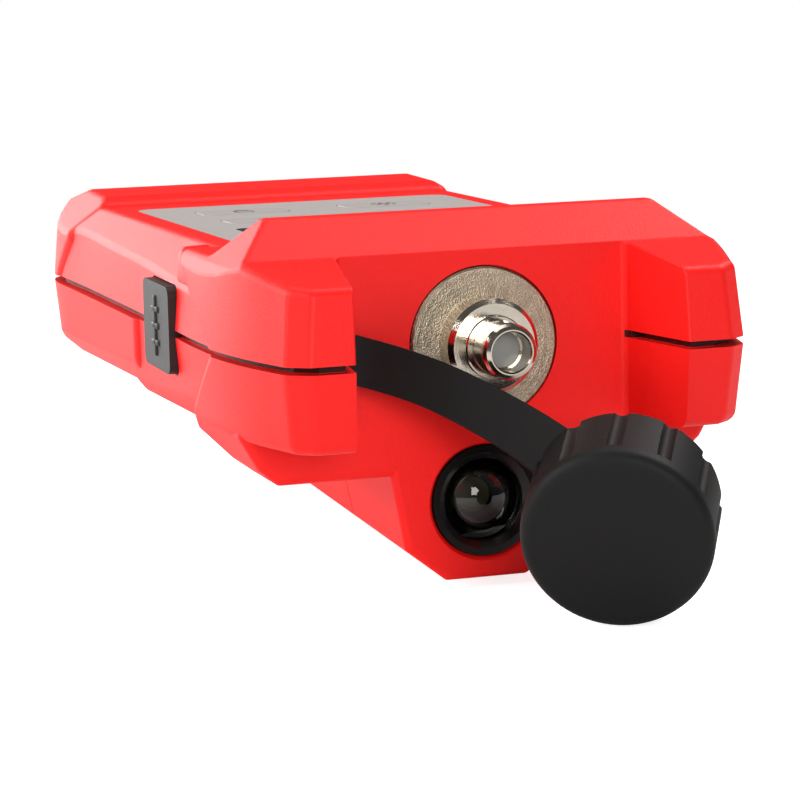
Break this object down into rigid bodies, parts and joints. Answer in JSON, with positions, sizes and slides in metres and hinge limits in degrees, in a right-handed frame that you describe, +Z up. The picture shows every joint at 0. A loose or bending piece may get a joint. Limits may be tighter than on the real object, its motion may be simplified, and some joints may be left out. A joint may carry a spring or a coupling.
{
  "type": "visual fault locator",
  "caption": "Handheld fibre fault locator in a two-piece shell with a guarded optical port between two horns, a torch below it, a strapped rubber dust cap and a charging socket cover.",
  "frame": {"origin": "centre of the flat foot of the battery hump, on which the body rests", "axes": "+Z up and square to the parting line of the shells, +Y from the optical port back to the tail, +X to the right seen from the port end"},
  "size_m": [0.078, 0.1746, 0.0552],
  "materials": {
    "shell_red": "fine matte grain",
    "panel_grey": "satin printed film",
    "key_grey": "matte silicone",
    "rubber_black": "matte",
    "nickel": "turned, warm nickel plate",
    "window_clear": "clear",
    "lcd_grey": "satin",
    "board_green": "solder mask",
    "switch_black": "matte",
    "screw_steel": "plain",
    "source_brass": "turned",
    "torch_black": "semi gloss",
    "reflector": "bright",
    "lamp_white": "clear dome",
    "cell_wrap": "shrink wrap",
    "contact_steel": "nickelled strip"
  },
  "bodies": {
    "housing": {"upper_shell": "shell_red", "lower_shell": "shell_red", "battery_door": "shell_red", "battery_door_screw": "screw_steel", "housing_screws": "screw_steel", "front_panel": "panel_grey", "display_window": "window_clear", "lcd_module": "lcd_grey", "circuit_board": "board_green", "key_switches": "switch_black", "port_flange": "nickel", "port_adapter": "nickel", "port_window": "window_clear", "port_nut": "source_brass", "laser_module": "source_brass", "torch_bezel": "torch_black", "torch_lens": "window_clear", "torch_reflector": "reflector", "torch_lamp": "lamp_white", "torch_board": "board_green", "usb_socket": "contact_steel", "battery_cell": "cell_wrap", "battery_contacts": "contact_steel", "dust_cap": "rubber_black"},
    "key_power_body": {"key_power": "key_grey"},
    "key_wave_body": {"key_wave": "key_grey"},
    "key_hold_body": {"key_hold": "key_grey"},
    "key_torch_body": {"key_torch": "key_grey"},
    "usb_cover_body": {"usb_cover": "rubber_black"}
  },
  "joints": [
    {"name": "key_power_press", "type": "slide", "parent": "housing", "child": "key_power_body", "axis": [0, 0, -1], "range_m": [0, 0.0004], "stiffness_N_per_m": 1500},
    {"name": "key_wave_press", "type": "slide", "parent": "housing", "child": "key_wave_body", "axis": [0, 0, -1], "range_m": [0, 0.0004], "stiffness_N_per_m": 1500},
    {"name": "key_hold_press", "type": "slide", "parent": "housing", "child": "key_hold_body", "axis": [0, 0, -1], "range_m": [0, 0.0004], "stiffness_N_per_m": 1500},
    {"name": "key_torch_press", "type": "slide", "parent": "housing", "child": "key_torch_body", "axis": [0, 0, -1], "range_m": [0, 0.0004], "stiffness_N_per_m": 1500},
    {"name": "usb_cover_hinge", "type": "hinge", "parent": "housing", "child": "usb_cover_body", "pos_m": [-0.0384, -0.00758, 0.03217], "axis": [0, 0, -1], "range_deg": [0, 100]}
  ]
}
